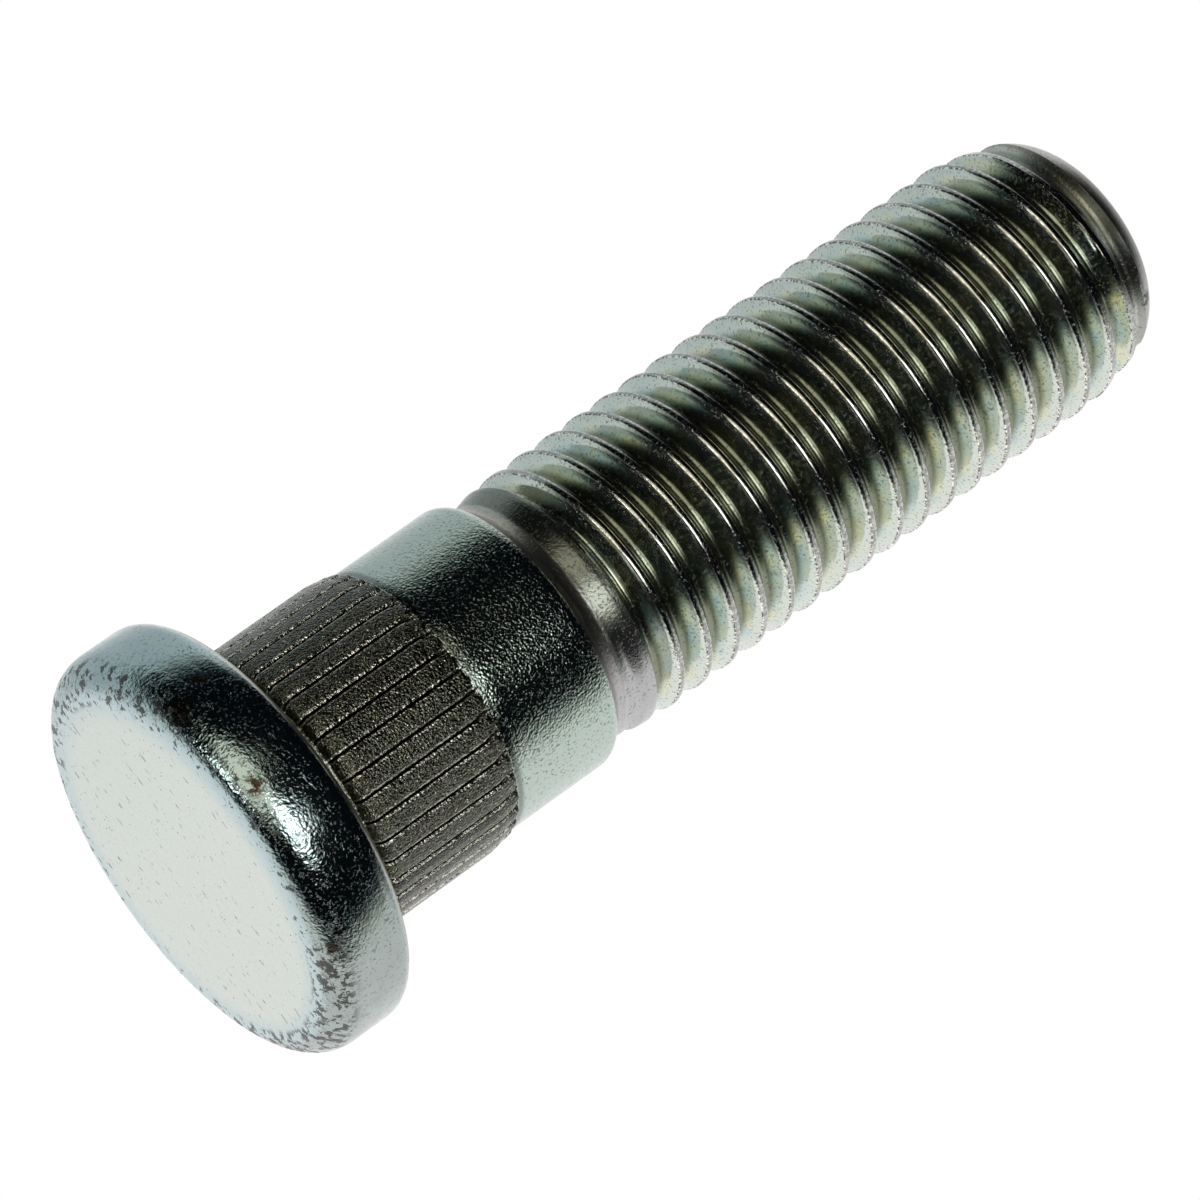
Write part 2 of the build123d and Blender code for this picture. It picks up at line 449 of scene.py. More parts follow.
def shoulder_outline(sizes):
    """Smooth shoulder, its rounding, and the hollow that leads to the neck."""
    radius, end, neck = sizes.shoulder_radius, sizes.shoulder_end, sizes.neck_radius
    outer, hollow = SHOULDER_ROUNDING, NECK_HOLLOW
    turn = math.degrees(math.acos(1 - (radius - neck) / (outer + hollow)))
    neck_start = end + (outer + hollow) * math.sin(math.radians(turn))
    outline = [(radius, sizes.knurl_lead_end + 0.05 * MM)]
    outline += [(radius, height * MM) for height in (12.8, 13.5, 14.2, 14.9, 15.6, 16.3)]
    outline += rounded((radius - outer, end), outer, 0, turn, 6)
    outline += rounded((neck + hollow, neck_start), hollow, 180 + turn, 180, 5)[1:]
    outline.append((neck, NECK_JOIN))
    return outline


def tooth_radius(sizes, crest, height, column):
    """Radius of a tooth at a column of points: a groove, its bevelled edges, a flat top and a rounded end."""
    side = TOOTH_SIDE[column]
    shoulder = sizes.shoulder_radius - TOOTH_SINK
    run = (height - (sizes.knurl_lead_end - LEAD_ROUND_START)) / LEAD_ROUND_LENGTH
    if run >= 1.0:
        return shoulder
    if column == 0:
        return sizes.knurl_root_radius
    flat = crest * math.cos(TOOTH_FLAT_SIDE) / math.cos(math.radians(side))
    half_width = TOOTH_HALF_WIDTH * (1.0 if run <= 0.0 else math.sqrt(1.0 - run * run))
    if side > half_width + 0.5:
        return min(flat - TOOTH_BEVEL, shoulder - TOOTH_SINK) if run > 0.0 else flat - TOOTH_BEVEL
    if side > half_width - 0.4 and run > 0.0:
        return flat - TOOTH_SINK
    return flat


def made_head_and_shank(sizes):
    """Everything from the head's face to the neck, with the grooves of the knurl pressed in."""
    rows = knurl_heights(sizes)
    outline = head_outline(sizes) + [(sizes.undercut_radius, sizes.knurl_rear - 0.02 * MM)]
    outline += rows + shoulder_outline(sizes)
    piece = drawn_outline("stud", outline, GROOVE_ANGLE)
    columns = sizes.knurl_teeth * COLUMNS_PER_TOOTH
    spun(piece, columns)
    step = 2 * math.pi / columns

    def column_of(place):
        return round((math.atan2(place.y, place.x) - GROOVE_ANGLE) / step) % COLUMNS_PER_TOOTH

    for crest, height in rows:
        for column in range(COLUMNS_PER_TOOTH):
            scale = tooth_radius(sizes, crest, height, column) / crest
            choose(piece, lambda place: abs(place.z - height) < 1e-6 and column_of(place) == column)
            bpy.ops.transform.resize(value=(scale, scale, 1.0), center_override=(0.0, 0.0, 0.0))
    turns = [[] for _ in COLUMN_SHIFTS]
    mesh = bmesh.from_edit_mesh(piece.data)
    low, high = rows[0][1] - 1e-6, rows[-2][1] + 1e-6
    for point in mesh.verts:
        if low < point.co.z < high:
            for shifted, (column, _) in zip(turns, COLUMN_SHIFTS):
                if column_of(point.co) == column:
                    shifted.append(point.index)
    for shifted, (_, degrees) in zip(turns, COLUMN_SHIFTS):
        turned(piece, set(shifted), math.radians(degrees))
    bpy.ops.object.mode_set(mode="OBJECT")
    return piece


def tip_outline(sizes):
    """Taper and round nose of the tip, up to its flat end."""
    crest, start, nose = sizes.thread_crest_radius, sizes.tip_start, sizes.nose_start
    taper = math.degrees(math.atan(TIP_SLOPE))
    nose_edge = crest - (nose - start) * TIP_SLOPE
    centre = (
        nose_edge - sizes.nose_radius * math.cos(math.radians(taper)),
        nose - sizes.nose_radius * math.sin(math.radians(taper)),
    )
    return [(crest, start)] + rounded(centre, sizes.nose_radius, taper, TIP_END_ANGLE, 10)


def made_limit(name, outline):
    """Closed turned body that the thread is held inside of or outside of."""
    piece = drawn_outline(name, outline)
    spun(piece, 360)
    bpy.ops.object.mode_set(mode="OBJECT")
    return piece


def thread_outline(sizes, bottom):
    """One pitch of the thread, from crest to crest, with a rounded root and rounded crests."""
    pitch, crest, root = sizes.thread_pitch, sizes.thread_crest_radius, sizes.thread_root_radius
    middle = bottom + pitch / 2
    half = []
    for turn in (0, 20, 40, 60):
        slope = math.radians(turn)
        half.append((root + ROOT_ROUNDING * (1 - math.cos(slope)), ROOT_ROUNDING * math.sin(slope)))
    for turn in (60, 40, 20):
        slope = math.radians(turn)
        rise = pitch / 2 - CREST_FLAT - CREST_ROUNDING * math.sin(slope)
        half.append((crest - CREST_ROUNDING * (1 - math.cos(slope)), rise))
    half.append((crest, pitch / 2))
    flank_start, flank_end = half[3], half[4]
    half.insert(4, tuple((a + b) / 2 for a, b in zip(flank_start, flank_end)))
    lower = [(radius, middle - offset) for radius, offset in reversed(half)]
    upper = [(radius, middle + offset) for radius, offset in half[1:]]
    return lower + upper


def made_thread(sizes):
    """The rolled thread, run out at the neck and held to the tapered tip."""
    pitch, crest = sizes.thread_pitch, sizes.thread_crest_radius
    bottom = CREST_HEIGHT - 4 * pitch
    piece = drawn_outline("thread", thread_outline(sizes, bottom))
    bpy.ops.object.mode_set(mode="OBJECT")
    turns = math.ceil((NOSE_JOIN - bottom) / pitch) + 2
    winding = piece.modifiers.new("winding", "SCREW")
    winding.axis = "Z"
    winding.angle = 2 * math.pi
    winding.screw_offset = pitch
    winding.iterations = turns
    winding.steps = 180
    winding.render_steps = 180
    bpy.ops.object.modifier_apply(modifier=winding.name)
    bpy.ops.object.mode_set(mode="EDIT")
    bpy.ops.mesh.select_all(action="SELECT")
    bpy.ops.mesh.remove_doubles(threshold=1e-7)
    bpy.ops.mesh.select_all(action="SELECT")
    bpy.ops.mesh.normals_make_consistent(inside=False)
    eased(piece, lambda place: place.z < NECK_EASE_HEIGHT, NECK_EASE_SCALE, NECK_EASE_REACH)
    eased(piece, lambda place: place.z > NOSE_EASE_HEIGHT, NOSE_EASE_SCALE, NOSE_EASE_REACH)
    bpy.ops.object.mode_set(mode="OBJECT")
    widest = crest + CREST_ALLOWANCE
    outline = [(0.0, LIMIT_FOOT)]
    outline += [(radius * MM, height * MM) for radius, height in START_LIMIT]
    outline += [(widest, 20.9 * MM), (widest, sizes.tip_start - 0.0866 * MM)]
    outline += tip_outline(sizes)[1:]
    outline.append((0.0, sizes.stud_length))
    outer = made_limit("outer_limit", outline)
    core = made_limit("core_limit", [(radius * MM, height * MM) for radius, height in CORE_LIMIT])
    deselect_everything()
    piece.select_set(True)
    bpy.context.view_layer.objects.active = piece
    for limit, side in ((core, "OUTSIDE"), (outer, "INSIDE")):
        hold = piece.modifiers.new("hold", "SHRINKWRAP")
        hold.target = limit
        hold.wrap_method = "NEAREST_SURFACEPOINT"
        hold.wrap_mode = side
        bpy.ops.object.modifier_apply(modifier=hold.name)
    for limit in (outer, core):
        bpy.data.objects.remove(limit)
    bpy.ops.object.mode_set(mode="EDIT")
    choose(piece, lambda place: RUNOUT_SMOOTH_START < place.z < RUNOUT_SMOOTH_END)
    bpy.ops.mesh.vertices_smooth(factor=0.5, repeat=8)
    for height, removed in ((THREAD_JOIN, "clear_inner"), (NOSE_JOIN, "clear_outer")):
        bpy.ops.mesh.select_all(action="SELECT")
        bpy.ops.mesh.bisect(
            plane_co=(0.0, 0.0, height), plane_no=(0.0, 0.0, 1.0), threshold=1e-7, **{removed: True}
        )
    bpy.ops.object.mode_set(mode="OBJECT")
    return piece


def joined_stud(sizes, shank, thread):
    """Joins the thread to the neck and closes the nose."""
    deselect_everything()
    thread.select_set(True)
    shank.select_set(True)
    bpy.context.view_layer.objects.active = shank
    bpy.ops.object.join()
    bpy.ops.object.mode_set(mode="EDIT")
    choose_rings(shank, lambda place: place.z < THREAD_JOIN + 0.5 * MM)
    bpy.ops.mesh.bridge_edge_loops()
    ring = [point for point in tip_outline(sizes) if point[1] > NOSE_JOIN + 0.02 * MM]
    choose_rings(shank, lambda place: place.z > NOSE_JOIN - 0.5 * MM)
    mesh = bmesh.from_edit_mesh(shank.data)
    here = max(point.co.xy.length for point in mesh.verts if point.select)
    height = NOSE_JOIN
    for radius, above in ring:
        bpy.ops.mesh.extrude_edges_move(TRANSFORM_OT_translate={"value": (0.0, 0.0, above - height)})
        bpy.ops.transform.resize(value=(radius / here, radius / here, 1.0), center_override=(0.0, 0.0, above))
        here, height = radius, above
    bpy.ops.mesh.extrude_edges_move(TRANSFORM_OT_translate={"value": (0.0, 0.0, 0.0)})
    bpy.ops.transform.resize(value=(0.5, 0.5, 1.0), center_override=(0.0, 0.0, height))
    bpy.ops.mesh.extrude_edges_move(TRANSFORM_OT_translate={"value": (0.0, 0.0, 0.0)})
    bpy.ops.mesh.merge(type="CENTER")
    bpy.ops.mesh.select_all(action="SELECT")
    bpy.ops.mesh.remove_doubles(threshold=1e-7)
    bpy.ops.mesh.select_all(action="SELECT")
    bpy.ops.mesh.normals_make_consistent(inside=False)
    mesh = bmesh.from_edit_mesh(shank.data)
    if any(len(edge.link_faces) != 2 for edge in mesh.edges):
        raise RuntimeError("The stud is not closed")
    bpy.ops.object.mode_set(mode="OBJECT")
    bpy.ops.object.shade_smooth_by_angle(angle=math.radians(38))
    return shank


# Brown stains of the rim and the tip: place and size in millimetres, and strength.
# The first one is broken up into flakes. The depth is that of the plating's relief.
FLAKED_STAIN = ((-1.13, -9.17, 0.90), 0.6)
STAINS = (
    ((-5.27, -7.52, 0.80), 0.8, 0.85),
    ((-5.75, -7.39, 2.2), 0.5, 0.85),
    ((5.79, -6.90, 0.54), 0.35, 0.9),
    ((3.6, -3.4, 47.9), 0.4, 0.9),
)
RELIEF_DEPTH = 0.04 * MM


class Zones:
    """Places on the stud in millimetres, and the parts of it that differ in finish."""

    def __init__(self, finish, teeth):
        place = finish.node("ShaderNodeTexCoord").outputs["Object"]
        grown = finish.node("ShaderNodeVectorMath", {"operation": "SCALE"}, i0=place, Scale=1 / MM)
        self.place = grown.outputs[0]
        split = finish.node("ShaderNodeSeparateXYZ", i0=self.place)
        x, y, z = (finish.value(split.outputs[axis]) for axis in "XYZ")
        radius = (x * x + y * y) ** 0.5
        self.x = x
        self.y = y
        self.z = z
        self.radius = radius

        # Parts along the axis.
        self.face = z.falling(0.01, 0.12)
        self.rim = z.between(0.01, 0.12, 3.6, 3.8)
        self.underside = z.between(3.6, 3.8, 4.9, 5.15)
        self.knurl = z.between(4.95, 5.2, 12.0, 12.1)
        self.shoulder = z.between(12.0, 12.1, 17.40, 17.50)
        self.neck = z.between(17.40, 17.50, 18.30, 18.50)
        self.thread = z.rising(18.30, 18.50)
        self.runout = z.between(18.30, 18.45, 19.6, 20.3)
        self.nose = z.rising(46.5, 46.9)

        # Height over the thread: the crest counts as 5.93 also where it runs out and where the tip tapers.
        reach = radius + (z - 44.8).at_least(0.0) * TIP_SLOPE + (20.7 - z).at_least(0.0) * 0.11
        wound = z.between(19.9, 20.4, 46.9, 47.4)
        self.crest = wound * reach.rising(5.912, 5.926)
        self.crest_edge = wound * reach.between(5.845, 5.875, 5.910, 5.922)
        self.root = wound * reach.falling(5.08, 5.42)

        # Teeth, each with a brightness of its own, and their edges at the grooves.
        tooth = (y.math("ARCTAN2", x) - GROOVE_ANGLE) * (teeth / (2 * math.pi))
        number = tooth.math("FLOOR").math("FLOORED_MODULO", float(teeth))
        drawn = finish.node("ShaderNodeTexWhiteNoise", {"noise_dimensions": "1D"}, W=number)
        self.tooth_shade = finish.value(drawn.outputs["Value"])
        self.across_tooth = tooth.math("FRACT")
        self.lip = abs(self.across_tooth - 0.5).between(0.335, 0.365, 0.43, 0.45) * self.knurl


class Patterns:
    """Noises that the colour, the gloss and the relief of the plating share."""

    def __init__(self, finish, place):
        combed = finish.node("ShaderNodeVectorMath", {"operation": "MULTIPLY"}, i0=place, i1=(0.7, 2.6, 1.6))
        self.cloud = finish.noise(place, 0.55, 3.0, 0.55)
        self.peel = finish.noise(place, 7.0, 1.5, 0.5)
        self.swell = finish.noise(place, 1.6, 1.0, 0.5)
        self.grain = finish.noise(place, 11.0, 3.0, 0.65)
        self.grit = finish.noise(place, 6.0, 4.0, 0.7)
        self.flakes = finish.noise(place, 2.3, 4.0, 0.65)
        self.fleck = finish.noise(place, 9.5, 1.0, 0.5)
        self.dust = finish.noise(place, 8.0, 2.0, 0.6)
        self.pits = finish.cells(place, 2.6)
        self.dashes = finish.noise(combed.outputs[0], 1.7, 3.0, 0.6)


class Wear:
    """Dark pits, scratches and chips of the head, specks along the crests, dust, and brown stains."""

    def __init__(self, finish, zones, patterns):
        x, flakes = zones.x, patterns.flakes
        pitted = patterns.pits.falling(0.05, 0.11) * patterns.grit.rising(0.46, 0.54)
        scratched = (zones.face + zones.rim * 0.6) * patterns.dashes.rising(0.65, 0.69)
        edge = zones.radius.between(7.5, 7.9, 9.1, 9.4) * zones.z.falling(0.8, 1.5)
        ragged = flakes + abs(x).rising(3.0, 8.0) * 0.06 + x.rising(3.0, 7.0) * 0.03
        chipped = edge * ragged.rising(0.60, 0.63)
        specks = (zones.crest_edge + zones.crest * 0.5) * patterns.grit.rising(0.45, 0.53)
        specks = specks * (abs(x).rising(1.5, 3.5) * 0.6 + 0.4)
        plain = zones.shoulder * 0.5 + zones.rim * 0.42 + zones.neck * 0.5 + zones.thread * 0.5
        self.dusty = patterns.dust.rising(0.585, 0.66) * (plain + zones.face * 0.12)
        pitted = pitted * (zones.face + zones.rim + zones.shoulder + (zones.neck + zones.thread) * 0.8)
        self.worn = pitted.at_most(1.0).at_least(chipped * 0.85).at_least(scratched * 0.6)
        self.dark = self.worn.at_least(specks * 0.9).at_least(self.dusty)

        def blot(centre, size):
            """Ragged stain round a place."""
            away = finish.node("ShaderNodeVectorMath", {"operation": "DISTANCE"}, i0=zones.place, i1=centre)
            frayed = finish.value(away.outputs["Value"]) + (flakes - 0.5) * (3.0 * size)
            return frayed.falling(0.5 * size, size)

        self.stain = blot(*FLAKED_STAIN) * flakes.rising(0.40, 0.52)
        for centre, size, strength in STAINS:
            self.stain = self.stain.at_least(blot(centre, size) * strength)


def head_colour(finish, colours, zones, patterns):
    """Pale face with a bluish edge, a duller rim and a plain underside, with painted shade across the face
    and the rim.
    """
    # Painted shade: the face is a little darker towards -x.
    face_painted_shade = finish.mix(zones.x.rising(-8.0, 1.0), (0.61, 0.655, 0.615), tuple(colours.face))
    face_painted_shade = finish.mix(zones.radius.rising(6.8, 8.1) * 0.8, face_painted_shade, tuple(colours.face_edge))
    # Painted light and shade: the rim is teal towards -x and greyer and darker towards +x.
    rim_painted_shade = finish.mix(zones.x.rising(0.0, 7.0) * 0.9, tuple(colours.rim), (0.37, 0.41, 0.39))
    rim_painted_shade = finish.mix(patterns.cloud.rising(0.4, 0.7) * 0.3, rim_painted_shade, (0.50, 0.54, 0.52))
    shade = finish.mix(zones.rim, face_painted_shade, rim_painted_shade)
    return finish.mix(zones.underside, shade, (0.34, 0.33, 0.27))


def knurl_colour(finish, colours, zones, patterns):
    """Dark, grainy teeth, each a little different, with painted shade towards -x, painted dark bands towards
    +x, and bright grains and edges that are partly rubbed metal and partly painted glints.
    """
    x, grit = zones.x, patterns.grit
    teeth_grain_and_shade = finish.mix(grit.rising(0.36, 0.62), tuple(colours.knurl_dark), tuple(colours.knurl))
    teeth_grain_and_shade = finish.mix(zones.tooth_shade * 0.6, teeth_grain_and_shade, (0.24, 0.25, 0.195))
    teeth_grain_and_shade = finish.mix(patterns.cloud.rising(0.56, 0.66) * 0.25, teeth_grain_and_shade, (0.13, 0.105, 0.07))
    # Painted shade: the teeth are darker towards -x.
    teeth_grain_and_shade = finish.mix(x.falling(-5.0, -1.0) * 0.6, teeth_grain_and_shade, (0.05, 0.052, 0.042))
    # Painted shade: a near-black band over part of each tooth towards +x.
    painted_band_shade = x.rising(4.4, 5.4) * zones.across_tooth.between(0.10, 0.20, 0.50, 0.62) * zones.knurl
    teeth_grain_and_shade = finish.mix(painted_band_shade * 0.85, teeth_grain_and_shade, (0.02, 0.02, 0.018))
    # Bright grains and groove edges: partly rubbed metal, partly painted glints and highlight streaks.
    glints_and_rubbed_lips = patterns.grain.rising(0.62, 0.67) + zones.lip * grit.rising(0.40, 0.52)
    return finish.mix(glints_and_rubbed_lips.at_most(1.0) * zones.knurl * 0.8, teeth_grain_and_shade, tuple(colours.glint_and_rubbed))


def thread_colour(finish, colours, zones, patterns):
    """Tinted flanks, olive roots with painted shade, crests with bright edges that are partly painted
    highlight, a run-out with painted shade, and a nose with a painted dark reflection and painted highlight
    bands.
    """
    x, z = zones.x, zones.z
    tinted = finish.mix(patterns.cloud.rising(0.40, 0.62), (0.70, 0.70, 0.52), (0.54, 0.65, 0.63))
    tinted = finish.mix(zones.radius.rising(5.30, 5.75), tinted, tuple(colours.thread))
    # Roots: olive plating, darkened further as painted shade in the recess.
    tinted = finish.mix(zones.root, tinted, tuple(colours.thread_root))
    tinted = finish.mix(zones.crest, tinted, (0.55, 0.56, 0.54))
    # Crest edges: partly rubbed metal, partly painted highlight.
    tinted = finish.mix(zones.crest_edge, tinted, tuple(colours.glint_and_rubbed))
    # Painted shade: the run-out is near black towards -x and pale towards +x.
    runout_painted_shade = finish.mix(x.rising(1.5, 4.0), (0.15, 0.16, 0.135), (0.46, 0.44, 0.46))
    tinted = finish.mix(zones.runout * 0.85, tinted, runout_painted_shade)
    # Painted dark reflection: the nose is near black in the middle of its -y side.
    tip_painted_dark = abs(x - 0.2).falling(1.6, 3.8) * zones.y.falling(-3.0, -1.5)
    tip = finish.mix(tip_painted_dark, (0.38, 0.385, 0.36), (0.08, 0.08, 0.074))
    # Painted highlights: two pale bands round the nose, broken up by the cloud noise.
    glint_bands = z.between(46.72, 46.78, 46.84, 46.92) * 0.35 + z.between(47.18, 47.26, 47.30, 47.38) * 0.5
    tip = finish.mix(glint_bands * (patterns.cloud.rising(0.40, 0.60) * 0.6 + 0.4), tip, tuple(colours.glint_and_rubbed))
    return finish.mix(zones.nose * 0.9, tinted, tip)


def plating_colour(finish, colours, zones, patterns, wear):
    """Colour of the plating in each part, with its wear and with painted light and shade."""
    shade = head_colour(finish, colours, zones, patterns)
    shade = finish.mix(zones.knurl, shade, knurl_colour(finish, colours, zones, patterns))
    shade = finish.mix(zones.shoulder, shade, tuple(colours.shoulder))
    # Painted shade: a dark ring on the shoulder just past the ends of the teeth.
    ring = zones.z.between(12.03, 12.10, 12.2, 12.45) * 0.6
    shade = finish.mix(ring, shade, (0.10, 0.11, 0.10))
    # Painted shade: the neck is darker towards -x and paler towards +x.
    neck_painted_shade = finish.mix(zones.x.rising(1.0, 4.5), tuple(colours.neck), (0.50, 0.48, 0.49))
    shade = finish.mix(zones.neck, shade, neck_painted_shade)
    shade = finish.mix(zones.thread, shade, thread_colour(finish, colours, zones, patterns))
    shade = finish.mix(wear.dark, shade, tuple(colours.chip))
    return finish.mix(wear.stain, shade, tuple(colours.rust))


def plating_roughness(zones, patterns, wear):
    """Bright plating, duller in the hollows, on the nose and where it is worn."""
    roughness = 0.10 + zones.thread * 0.02 + zones.knurl * (zones.tooth_shade * 0.05 + 0.04)
    roughness = roughness + zones.underside * 0.2 + zones.neck * 0.22 + zones.runout * 0.12
    roughness = roughness + zones.root * 0.07 + zones.nose * 0.16
    return roughness + wear.worn * 0.3 + wear.stain * 0.12 + patterns.grain * 0.03


def plating_relief(zones, patterns, wear):
    """Peel on the smooth parts, grain on the teeth, sunken chips, and a rim that is slightly barrelled."""
    hammered = zones.rim * (zones.z.falling(1.3, 2.2) * 0.6 + 0.4)
    height = patterns.peel * (zones.shoulder * 0.3 + hammered * 0.6)
    height = height + patterns.fleck * (zones.shoulder * 0.6 + zones.knurl * 2.4)
    height = height + patterns.grit * zones.knurl * 0.4
    height = height + patterns.swell * hammered * 0.6
    height = height + patterns.grit * ((zones.crest + zones.crest_edge) * 0.06 + zones.nose * 0.15)
    height = height + patterns.peel * (zones.neck * 0.3 + zones.thread * 0.08 + zones.runout * 0.2)
    height = height + zones.face * (patterns.grain * 0.06 + patterns.swell * 0.5)
    height = height - wear.worn * (0.5 - zones.thread * 0.4) - wear.dusty * 0.2
    return height - zones.z.falling(1.1, 2.5) * 2.2


def zinc_finish(colours, teeth):
    """Worn zinc plating: bright and pitted on the head, scuffed on the knurl, tinted on the thread, with
    painted light and shade in its colour.
    """
    material = bpy.data.materials.new("worn_zinc_plating")
    finish = Finish(material)
    zones = Zones(finish, teeth)
    patterns = Patterns(finish, zones.place)
    wear = Wear(finish, zones, patterns)
    relief = plating_relief(zones, patterns, wear)
    bump = finish.node("ShaderNodeBump", Strength=1.0, Distance=RELIEF_DEPTH, Height=relief)
    surface = finish.node(
        "ShaderNodeBsdfPrincipled",
        Metallic=1.0,
        Base_Color=plating_colour(finish, colours, zones, patterns, wear),
        Roughness=plating_roughness(zones, patterns, wear),
        Normal=bump.outputs["Normal"],
    )
    finish.node("ShaderNodeOutputMaterial", Surface=surface.outputs[0])
    return material


# Directions of the studio's dark sides and lamps, as the stud sees them.
DARK_SIDE = Vector((-0.14, -0.94, -0.30)).normalized()
DARK_ABOVE = Vector((-0.05, -0.45, 0.89)).normalized()
GREY_SIDE = Vector((-0.85, 0.50, -0.10)).normalized()
SOFT_LAMP = Vector((-0.32, -0.79, -0.50)).normalized()
BRIGHT_LAMP = Vector((0.215, -0.96, -0.18)).normalized()
LOW_LAMP = Vector((-0.28, -0.19, -0.94)).normalized()

# Shades of the room, from the far side to the dark side.
ROOM_SHADES = (
    (0.0, (1.0, 1.0, 1.0)),
    (0.40, (1.0, 1.0, 1.0)),
    (0.455, (0.88, 0.90, 0.86)),
    (0.50, (0.44, 0.46, 0.39)),
    (0.54, (0.12, 0.155, 0.155)),
    (0.575, (0.016, 0.023, 0.03)),
    (0.62, (0.003, 0.0035, 0.005)),
)

# Camera fitted to the photograph: pixels of its square frame, millimetres and degrees.
FRAME_PIXELS = 1200.0
FOCAL_PIXELS = 9008.4
HEAD_FROM_CENTRE_PIXELS = (-413.591, 269.947)
HEAD_DISTANCE = 356.695
AXIS_TILT = math.radians(66.496)
AXIS_ROLL = math.radians(0.159)
AXIS_RUN = Vector((0.8137, -0.5811)).normalized()
SENSOR_WIDTH = 36.0

# Floor and the lamp above it, in metres.
FLOOR_RADIUS = 0.24
FLOOR_FADE = (0.08, 0.22)
FLOOR_DROP = 0.05 * MM
LAMP_PLACE = Vector((-0.10, 0.06, 0.26))
LAMP_WIDTH = 0.14


def made_camera():
    """Camera at the photograph's viewing angle, below the plane of the head's face."""
    across, down = (offset * HEAD_DISTANCE / FOCAL_PIXELS for offset in HEAD_FROM_CENTRE_PIXELS)
    cosine, sine = math.cos(AXIS_ROLL), math.sin(AXIS_ROLL)
    run = Vector((AXIS_RUN.x * cosine - AXIS_RUN.y * sine, AXIS_RUN.x * sine + AXIS_RUN.y * cosine))
    along = Vector((run.x * math.sin(AXIS_TILT), run.y * math.sin(AXIS_TILT), math.cos(AXIS_TILT)))
    side = Vector((-run.y, run.x, 0.0))
    back = Matrix((side, along.cross(side), along))
    place = -(back @ Vector((across, down, HEAD_DISTANCE)))
    lens = bpy.data.cameras.new("camera")
    lens.sensor_width = SENSOR_WIDTH
    lens.lens = SENSOR_WIDTH * FOCAL_PIXELS / FRAME_PIXELS
    lens.clip_start = 0.01
    lens.clip_end = 50.0
    camera = bpy.data.objects.new("camera", lens)
    bpy.context.scene.collection.objects.link(camera)
    axes = Matrix([back @ Vector(axis) for axis in ((1, 0, 0), (0, -1, 0), (0, 0, -1))]).transposed()
    camera.matrix_world = Matrix.Translation(place * MM) @ axes.to_4x4()
    bpy.context.scene.camera = camera


def made_world():
    """White studio, dark above and on the camera's side, with a soft lamp and two small ones there."""
    world = bpy.data.worlds.new("studio")
    bpy.context.scene.world = world
    finish = Finish(world)
    way = finish.node("ShaderNodeTexCoord").outputs["Generated"]

    def toward(direction):
        """Cosine of the angle from a direction."""
        facing = finish.node("ShaderNodeVectorMath", {"operation": "DOT_PRODUCT"}, i0=way, i1=direction)
        return finish.value(facing.outputs["Value"])

    def lamp(direction, outer, inner):
        """Round lamp that fades between two angles."""
        return toward(direction).rising(math.cos(math.radians(outer)), math.cos(math.radians(inner)))

    def oval(direction, wide, tall, core):
        """Upright oval lamp of a half width and a half height in degrees."""
        side = Vector((-direction.y, direction.x, 0.0)).normalized()
        across = toward(side) / math.sin(math.radians(wide))
        upward = toward(direction.cross(side)) / math.sin(math.radians(tall))
        away = (across * across + upward * upward) ** 0.5
        return away.falling(core, 1.0) * toward(direction).rising(0.0, 0.2)

    shown = toward(DARK_SIDE) * 0.5 + 0.5
    room = finish.node("ShaderNodeValToRGB", {"stops": ROOM_SHADES}, i0=shown).outputs["Color"]
    dimmed = finish.node(
        "ShaderNodeMix",
        {"data_type": "RGBA", "blend_type": "MULTIPLY"},
        i0=lamp(GREY_SIDE, 60.0, 24.0),
        i6=room,
        i7=(0.52, 0.58, 0.60, 1.0),
    ).outputs[2]
    small = oval(BRIGHT_LAMP, 18.0, 26.0, 0.6)
    soft = oval(SOFT_LAMP, 24.0, 47.0, 0.6)
    low = lamp(LOW_LAMP, 8.5, 5.0)
    lit = finish.mix(lamp(DARK_ABOVE, 62.0, 36.0), dimmed, (0.003, 0.0035, 0.005))
    lit = finish.mix(soft, lit, (0.85, 0.80, 0.64))
    lit = finish.mix(small.at_least(low), lit, (1.0, 1.0, 0.96))
    eye = finish.node("ShaderNodeLightPath").outputs["Is Camera Ray"]
    seen = finish.mix(eye, lit, (1.0, 1.0, 1.0))
    strength = 1.0 + small * 2.3 + low * 2.4 + soft * 0.3
    strength = strength * (1.0 - finish.value(eye)) + finish.value(eye)
    background = finish.node("ShaderNodeBackground", Color=seen, Strength=strength)
    finish.node("ShaderNodeOutputWorld", Surface=background.outputs[0])


def floor_finish(settings):
    """Pale floor that is open from below and fades out at its edge."""
    material = bpy.data.materials.new("pale_floor")
    finish = Finish(material)
    place = finish.node("ShaderNodeTexCoord").outputs["Object"]
    reach = finish.node("ShaderNodeVectorMath", {"operation": "LENGTH"}, i0=place).outputs["Value"]
    fade = finish.value(reach).rising(*FLOOR_FADE)
    below = finish.value(finish.node("ShaderNodeNewGeometry").outputs["Backfacing"])
    clear = finish.node("ShaderNodeBsdfTransparent")
    matt = finish.node("ShaderNodeBsdfDiffuse", Color=(*settings.floor, 1.0))
    both = finish.node(
        "ShaderNodeMixShader", i0=below.at_least(fade), i1=matt.outputs[0], i2=clear.outputs[0]
    )
    finish.node("ShaderNodeOutputMaterial", Surface=both.outputs[0])
    return material


class WHEEL_STUD_OT_stud(bpy.types.Operator):
    """Builds the stud over its CAD node and gives it its plating"""

    bl_idname = "wheel_stud.stud"
    bl_label = "Stud"

    def execute(self, context):
        sizes = context.scene.stud_sizes
        shank = made_head_and_shank(sizes)
        thread = made_thread(sizes)
        stud = joined_stud(sizes, shank, thread)
        stud.data.materials.clear()
        stud.data.materials.append(zinc_finish(context.scene.stud_colours, sizes.knurl_teeth))
        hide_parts(NODE)
        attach(stud, BODY)
        return {"FINISHED"}


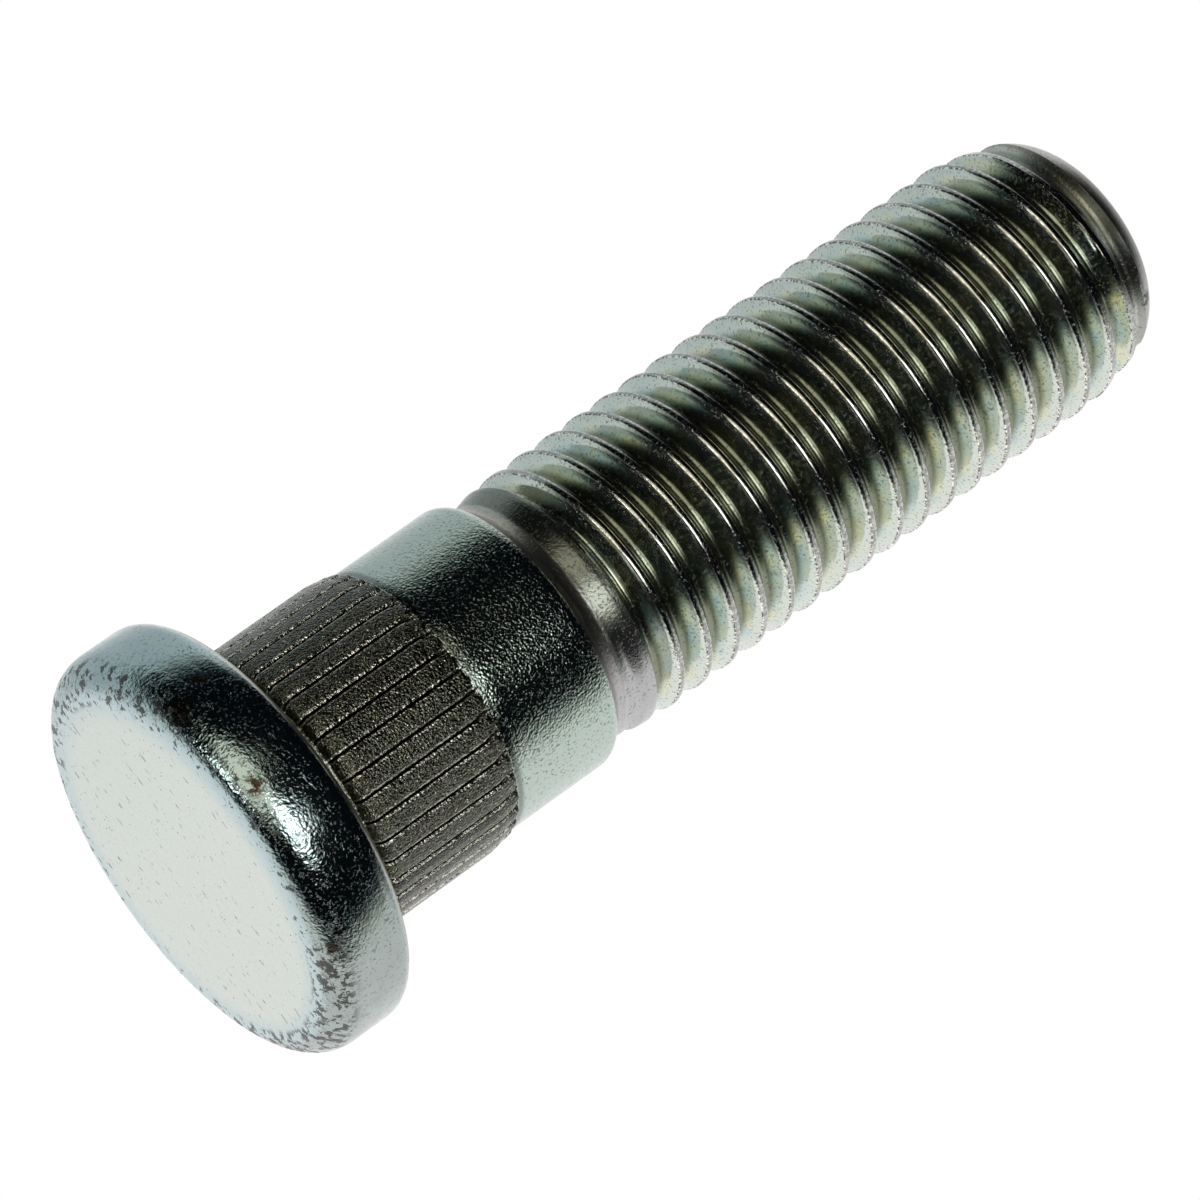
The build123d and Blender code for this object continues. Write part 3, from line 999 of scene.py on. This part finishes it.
class WHEEL_STUD_OT_stage(bpy.types.Operator):
    """Sets up the floor, the light and the camera"""

    bl_idname = "wheel_stud.stage"
    bl_label = "Stage"

    def execute(self, context):
        settings = context.scene.stage_settings
        deselect_everything()
        bpy.ops.mesh.primitive_circle_add(
            vertices=96, radius=FLOOR_RADIUS, fill_type="NGON", location=(0.0, 0.0, 0.0)
        )
        floor = context.object
        floor.name = "floor"
        bpy.ops.object.mode_set(mode="EDIT")
        bpy.ops.mesh.select_all(action="SELECT")
        bpy.ops.transform.translate(value=(0.0, 0.0, -FLOOR_DROP))
        bpy.ops.mesh.normals_make_consistent(inside=False)
        bpy.ops.object.mode_set(mode="OBJECT")
        floor.data.materials.append(floor_finish(settings))
        floor.visible_glossy = False
        floor.visible_shadow = False
        bpy.ops.object.light_add(type="AREA", location=LAMP_PLACE)
        lamp = context.object
        lamp.name = "lamp_above"
        lamp.data.energy = settings.lamp_power
        lamp.data.shape = "DISK"
        lamp.data.size = LAMP_WIDTH
        lamp.rotation_mode = "QUATERNION"
        lamp.rotation_quaternion = (-LAMP_PLACE).to_track_quat("-Z", "Y")
        lamp.visible_glossy = False
        made_camera()
        made_world()
        context.scene.view_settings.view_transform = "Standard"
        return {"FINISHED"}


class WHEEL_STUD_PT_panel(bpy.types.Panel):
    """Sizes, colours and the steps that build the stud"""

    bl_idname = "WHEEL_STUD_PT_panel"
    bl_label = "Wheel stud"
    bl_space_type = "VIEW_3D"
    bl_region_type = "UI"
    bl_category = "Wheel stud"

    def draw(self, context):
        layout = self.layout
        for group in (context.scene.stud_sizes, context.scene.stud_colours, context.scene.stage_settings):
            box = layout.box()
            for name in group.bl_rna.properties.keys():
                if name not in ("rna_type", "name"):
                    box.prop(group, name)
        layout.operator("wheel_stud.stud")
        layout.operator("wheel_stud.stage")


CLASSES = (
    StudSizes,
    StudColours,
    StageSettings,
    WHEEL_STUD_OT_stud,
    WHEEL_STUD_OT_stage,
    WHEEL_STUD_PT_panel,
)


def register():
    for made in CLASSES:
        bpy.utils.register_class(made)
    bpy.types.Scene.stud_sizes = PointerProperty(type=StudSizes)
    bpy.types.Scene.stud_colours = PointerProperty(type=StudColours)
    bpy.types.Scene.stage_settings = PointerProperty(type=StageSettings)


def unregister():
    del bpy.types.Scene.stage_settings
    del bpy.types.Scene.stud_colours
    del bpy.types.Scene.stud_sizes
    for made in reversed(CLASSES):
        bpy.utils.unregister_class(made)


def main():
    register()
    bpy.ops.wheel_stud.stud()
    bpy.ops.wheel_stud.stage()


if __name__ == "__main__":
    main()
